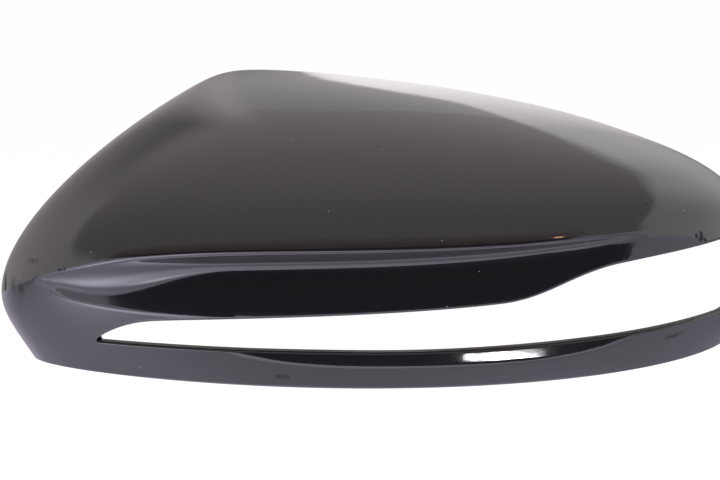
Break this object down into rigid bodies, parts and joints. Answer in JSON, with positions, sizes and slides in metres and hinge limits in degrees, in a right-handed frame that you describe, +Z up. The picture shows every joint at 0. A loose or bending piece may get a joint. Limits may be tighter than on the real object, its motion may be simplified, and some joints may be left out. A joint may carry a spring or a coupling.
{
  "type": "wing mirror cover",
  "caption": "Gloss black moulded cover for a car's wing mirror: domed shell with a fluted side, a sharp crease and a long tapering slot for an indicator lamp.",
  "frame": {"origin": "shoulder of the main locating peg inside the cover, on the peg's axis", "axes": "+Z up as fitted to the car, +X along the cover towards the car body, +Y out of the open back along the pegs; the domed front faces -Y"},
  "size_m": [0.2517, 0.0834, 0.1007],
  "materials": {
    "cover": "gloss black paint over moulded plastic, fine dust and small chips"
  },
  "bodies": {
    "root": {"mirror_cover": "cover"}
  },
  "joints": []
}
